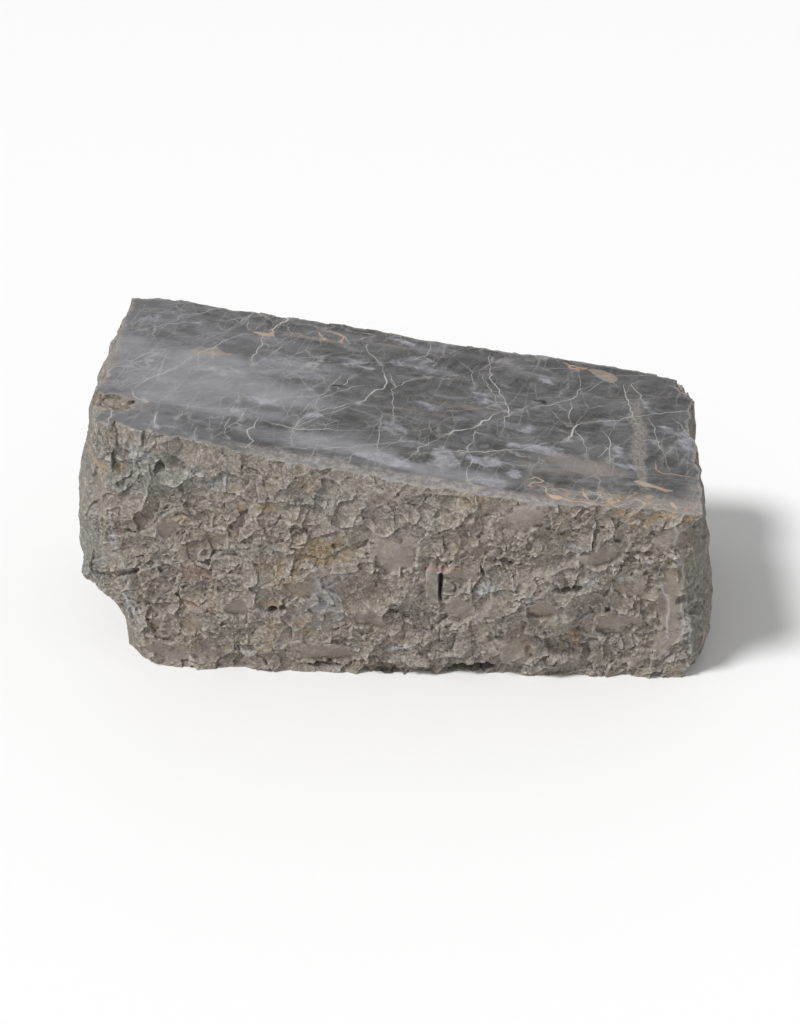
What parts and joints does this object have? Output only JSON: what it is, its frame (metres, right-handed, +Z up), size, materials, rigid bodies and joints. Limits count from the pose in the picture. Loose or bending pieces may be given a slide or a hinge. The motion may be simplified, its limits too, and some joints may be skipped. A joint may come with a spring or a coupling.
{
  "type": "marble block",
  "caption": "Rough quarried block of grey veined marble with split rock sides, a flat base and a sawn sloping top.",
  "frame": {"origin": "centre of the block's box, on the ground", "axes": "+X along the block towards its lower end, +Z up, the bowed split face faces -Y"},
  "size_m": [2.344, 1.1184, 1.0418],
  "materials": {
    "marble": "split rough sides, sawn matt top with pale veins"
  },
  "bodies": {
    "root": {"marble_block": "marble"}
  },
  "joints": []
}
